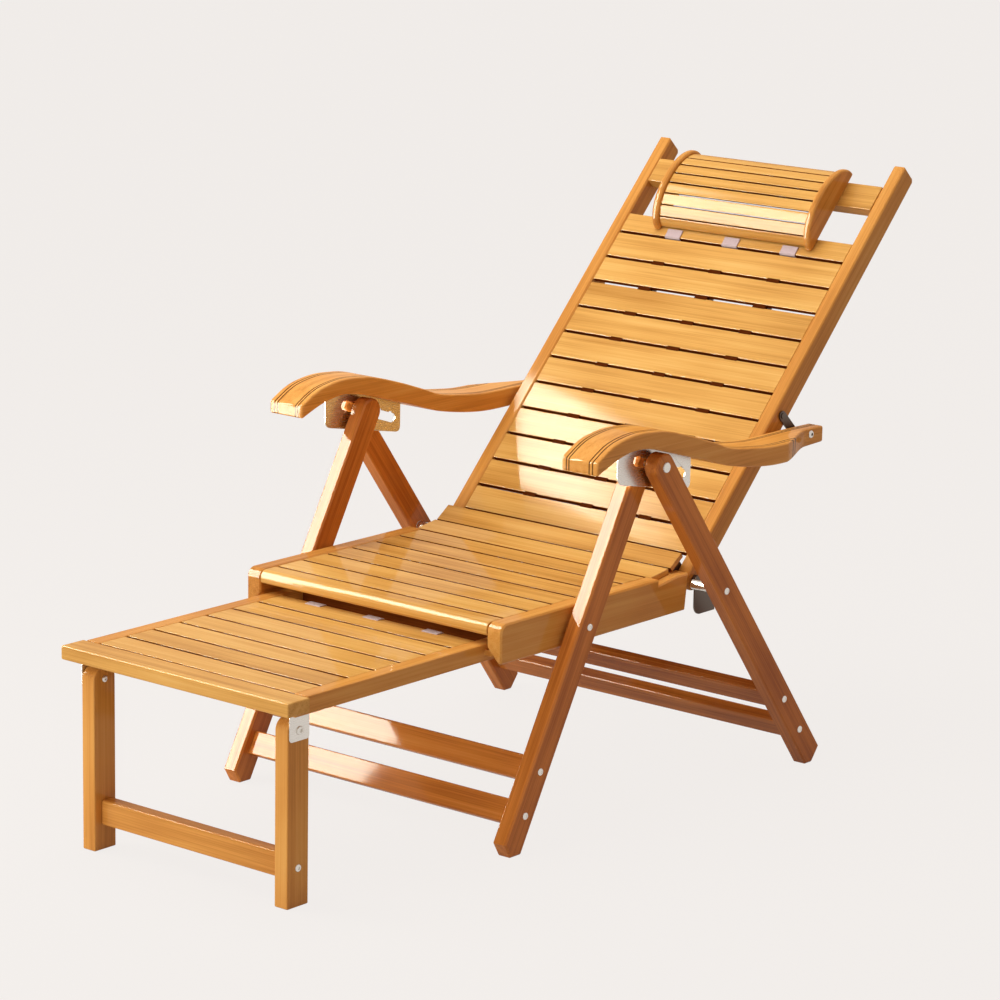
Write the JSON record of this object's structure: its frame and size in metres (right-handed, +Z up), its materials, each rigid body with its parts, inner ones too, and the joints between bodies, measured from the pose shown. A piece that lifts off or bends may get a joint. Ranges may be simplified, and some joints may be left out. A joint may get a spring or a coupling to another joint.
{
  "type": "bamboo folding recliner",
  "caption": "Folding recliner in lacquered bamboo slats with a ratchet back, wavy armrests, a flip-over headrest and a pull-out footrest on folding legs.",
  "frame": {"origin": "centre of the bounding box on the floor", "axes": "+Z up, -Y towards the footrest, +X towards the side seen in the picture"},
  "size_m": [0.668, 1.4725, 0.9314],
  "materials": {
    "webbing": "woven mauve webbing",
    "bamboo_slat": "gloss lacquer",
    "bamboo_rail": "gloss lacquer",
    "bamboo_frame": "gloss lacquer",
    "steel": "bright zinc"
  },
  "bodies": {
    "front_legs": {"front_leg_right": "bamboo_frame", "front_leg_left": "bamboo_frame", "front_stretcher_upper": "bamboo_frame", "front_stretcher_lower": "bamboo_frame"},
    "rear_legs": {"rear_leg_right": "bamboo_frame", "rear_leg_left": "bamboo_frame", "rear_stretcher_upper": "bamboo_frame", "rear_stretcher_lower": "bamboo_frame"},
    "seat": {"seat_rail_right": "bamboo_rail", "seat_rail_left": "bamboo_rail", "seat_nosing": "bamboo_slat", "seat_slat_1": "bamboo_slat", "seat_slat_2": "bamboo_slat", "seat_slat_3": "bamboo_slat", "seat_slat_4": "bamboo_slat", "seat_slat_5": "bamboo_slat", "seat_slat_6": "bamboo_slat", "seat_slat_rear": "bamboo_slat", "seat_slat_knee": "bamboo_slat", "hinge_plate_right": "steel", "hinge_plate_left": "steel"},
    "hinge_hooks": {"hinge_hook_right": "steel", "hinge_hook_left": "steel"},
    "back": {"back_rail_right": "bamboo_rail", "back_rail_left": "bamboo_rail", "back_slat_1": "bamboo_slat", "back_slat_2": "bamboo_slat", "back_slat_3": "bamboo_slat", "back_slat_4": "bamboo_slat", "back_slat_5": "bamboo_slat", "back_slat_6": "bamboo_slat", "back_slat_7": "bamboo_slat", "back_slat_8": "bamboo_slat", "back_slat_9": "bamboo_slat", "back_slat_10": "bamboo_slat", "back_slat_11": "bamboo_slat", "back_slat_head": "bamboo_slat", "back_top_rail": "bamboo_slat", "back_band_left": "webbing", "back_band_centre": "webbing", "back_band_right": "webbing"},
    "arm_link_right": {"arm_link_right": "steel"},
    "arm_link_left": {"arm_link_left": "steel"},
    "arm_right": {"armrest_right": "bamboo_rail", "ratchet_plate_right": "steel"},
    "arm_left": {"armrest_left": "bamboo_rail", "ratchet_plate_left": "steel"},
    "footrest": {"footrest_rail_right": "bamboo_rail", "footrest_rail_left": "bamboo_rail", "footrest_nosing": "bamboo_slat", "footrest_deck": "bamboo_slat", "foot_bracket_right": "steel", "foot_bracket_left": "steel"},
    "foot_legs": {"foot_leg_right": "bamboo_rail", "foot_leg_left": "bamboo_rail", "foot_stretcher": "bamboo_rail"},
    "headrest": {"pillow_end_right": "bamboo_slat", "pillow_end_left": "bamboo_slat", "pillow_slats": "bamboo_slat"}
  },
  "joints": [
    {"name": "leg_fold", "type": "hinge", "parent": "front_legs", "child": "rear_legs", "pos_m": [0, -0.0127, 0.554], "axis": [-1, 0, 0], "range_deg": [0, 58]},
    {"name": "seat_lift", "type": "hinge", "parent": "front_legs", "child": "seat", "pos_m": [0, -0.13992, 0.32211], "axis": [1, 0, 0], "range_deg": [0, 48.5]},
    {"name": "hook_swing", "type": "hinge", "parent": "seat", "child": "hinge_hooks", "pos_m": [0, 0.16708, 0.33401], "axis": [1, 0, 0], "range_deg": [-48.5, 0]},
    {"name": "recline", "type": "hinge", "parent": "hinge_hooks", "child": "back", "pos_m": [0, 0.16708, 0.33401], "axis": [-1, 0, 0], "range_deg": [-18, 0]},
    {"name": "arm_link_turn_right", "type": "hinge", "parent": "back", "child": "arm_link_right", "pos_m": [0.27, 0.38661, 0.56366], "axis": [-1, 0, 0], "range_deg": [0, 12.5]},
    {"name": "arm_link_turn_left", "type": "hinge", "parent": "back", "child": "arm_link_left", "pos_m": [-0.27, 0.38661, 0.56366], "axis": [-1, 0, 0], "range_deg": [0, 12.5]},
    {"name": "arm_swing_right", "type": "hinge", "parent": "arm_link_right", "child": "arm_right", "pos_m": [0.27, 0.41748, 0.53415], "axis": [1, 0, 0], "range_deg": [0, 33.5]},
    {"name": "arm_swing_left", "type": "hinge", "parent": "arm_link_left", "child": "arm_left", "pos_m": [-0.27, 0.41748, 0.53415], "axis": [1, 0, 0], "range_deg": [0, 33.5]},
    {"name": "footrest_slide", "type": "slide", "parent": "seat", "child": "footrest", "axis": [0, 1, 0], "range_m": [0, 0.3698]},
    {"name": "foot_leg_fold", "type": "hinge", "parent": "footrest", "child": "foot_legs", "pos_m": [0, -0.6927, 0.263], "axis": [1, 0, 0], "range_deg": [0, 90]},
    {"name": "headrest_flip", "type": "hinge", "parent": "back", "child": "headrest", "pos_m": [0, 0.58351, 0.7964], "axis": [1, 0, 0], "range_deg": [0, 88]}
  ],
  "couplings": [
    {"joint": "seat_lift", "follows": "leg_fold", "ratio": 0.82759},
    {"joint": "hook_swing", "follows": "leg_fold", "ratio": -0.82473},
    {"joint": "arm_swing_right", "follows": "leg_fold", "ratio": 0.56969},
    {"joint": "arm_swing_left", "follows": "leg_fold", "ratio": 0.56969},
    {"joint": "arm_link_turn_right", "follows": "recline", "ratio": -0.68},
    {"joint": "arm_link_turn_left", "follows": "recline", "ratio": -0.68}
  ]
}
